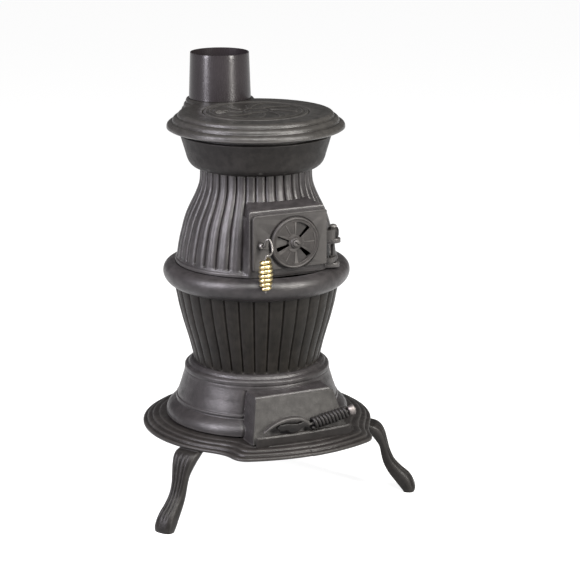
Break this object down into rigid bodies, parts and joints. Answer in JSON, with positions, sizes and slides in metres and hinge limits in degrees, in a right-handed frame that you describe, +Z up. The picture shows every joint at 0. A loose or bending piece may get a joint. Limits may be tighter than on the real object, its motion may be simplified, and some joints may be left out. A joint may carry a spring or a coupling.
{
  "type": "potbelly stove",
  "caption": "Round-bellied cast-iron room heater on a hearth plate with cabriole legs, with fire door, draft wheel, ash door, cook lid and flue pipe.",
  "frame": {"origin": "on the floor, under the middle of the bounding box in plan", "axes": "+Z up, the fire door faces -Y, +X is on the hinge side of the fire door"},
  "size_m": [0.5958, 0.6026, 0.905],
  "materials": {
    "black_iron": "satin stove-black cast iron, softly polished on the raised edges",
    "grate_iron": "dull unpolished cast iron",
    "tool_iron": "satin black cast iron",
    "pipe_steel": "semi-gloss grey-black sheet steel",
    "fastener_steel": "plain steel",
    "bright_nickel": "nickel plate",
    "brass_coil": "polished brass wire",
    "black_coil": "blackened steel wire"
  },
  "bodies": {
    "stove_body": {"base_plate": "black_iron", "ash_pit": "black_iron", "pit_bolt_left": "fastener_steel", "pit_bolt_right": "fastener_steel", "pit_bolt_rear": "fastener_steel", "pit_nut_left": "fastener_steel", "pit_nut_right": "fastener_steel", "pit_nut_rear": "fastener_steel", "leg_front_left": "black_iron", "leg_front_right": "black_iron", "leg_rear": "black_iron", "leg_bolt_front_left": "fastener_steel", "leg_bolt_front_right": "fastener_steel", "leg_bolt_rear": "fastener_steel", "fire_pot": "black_iron", "grate_ring": "grate_iron", "grate_bolt": "fastener_steel", "grate_nut": "fastener_steel", "waist_ring": "black_iron", "feed_section": "black_iron", "hinge_pin": "fastener_steel", "smoke_bowl": "black_iron", "cook_top": "black_iron", "flue_pipe": "pipe_steel"},
    "door": {"fire_door": "black_iron", "wheel_screw": "fastener_steel", "wheel_nut": "fastener_steel"},
    "wheel": {"draft_wheel": "black_iron"},
    "latch": {"latch_shaft": "bright_nickel", "latch_rod": "bright_nickel", "latch_coil": "brass_coil", "latch_tongue": "fastener_steel", "latch_nut": "fastener_steel"},
    "lid": {"cook_lid": "black_iron"},
    "ash_front": {"ash_door": "black_iron"},
    "lifter": {"lifter_shank": "tool_iron", "lifter_coil": "black_coil", "lifter_cap": "bright_nickel"},
    "grate": {"shaker_grate": "grate_iron"}
  },
  "joints": [
    {"name": "fire_door_swing", "type": "hinge", "parent": "stove_body", "child": "door", "pos_m": [0.1085, -0.17175, 0.55], "axis": [0, 0, 1], "range_deg": [0, 110]},
    {"name": "draft_wheel_turn", "type": "hinge", "parent": "door", "child": "wheel", "pos_m": [0.0112, -0.19525, 0.567], "axis": [0, -1, 0], "range_deg": [-20, 40]},
    {"name": "latch_turn", "type": "hinge", "parent": "door", "child": "latch", "pos_m": [-0.062, -0.19525, 0.5675], "axis": [0, 1, 0], "range_deg": [0, 85]},
    {"name": "cook_lid_lift", "type": "slide", "parent": "stove_body", "child": "lid", "axis": [0, 0, 1], "range_m": [0, 0.12]},
    {"name": "ash_door_lift", "type": "slide", "parent": "stove_body", "child": "ash_front", "axis": [0, 0.3552, 0.9348], "range_m": [0, 0.06]},
    {"name": "lid_lifter_lift", "type": "slide", "parent": "stove_body", "child": "lifter", "axis": [0, 0, 1], "range_m": [0, 0.12]},
    {"name": "grate_shake", "type": "hinge", "parent": "stove_body", "child": "grate", "pos_m": [0, -0.03525, 0.29], "axis": [0, 0, 1], "range_deg": [-10, 10]}
  ]
}
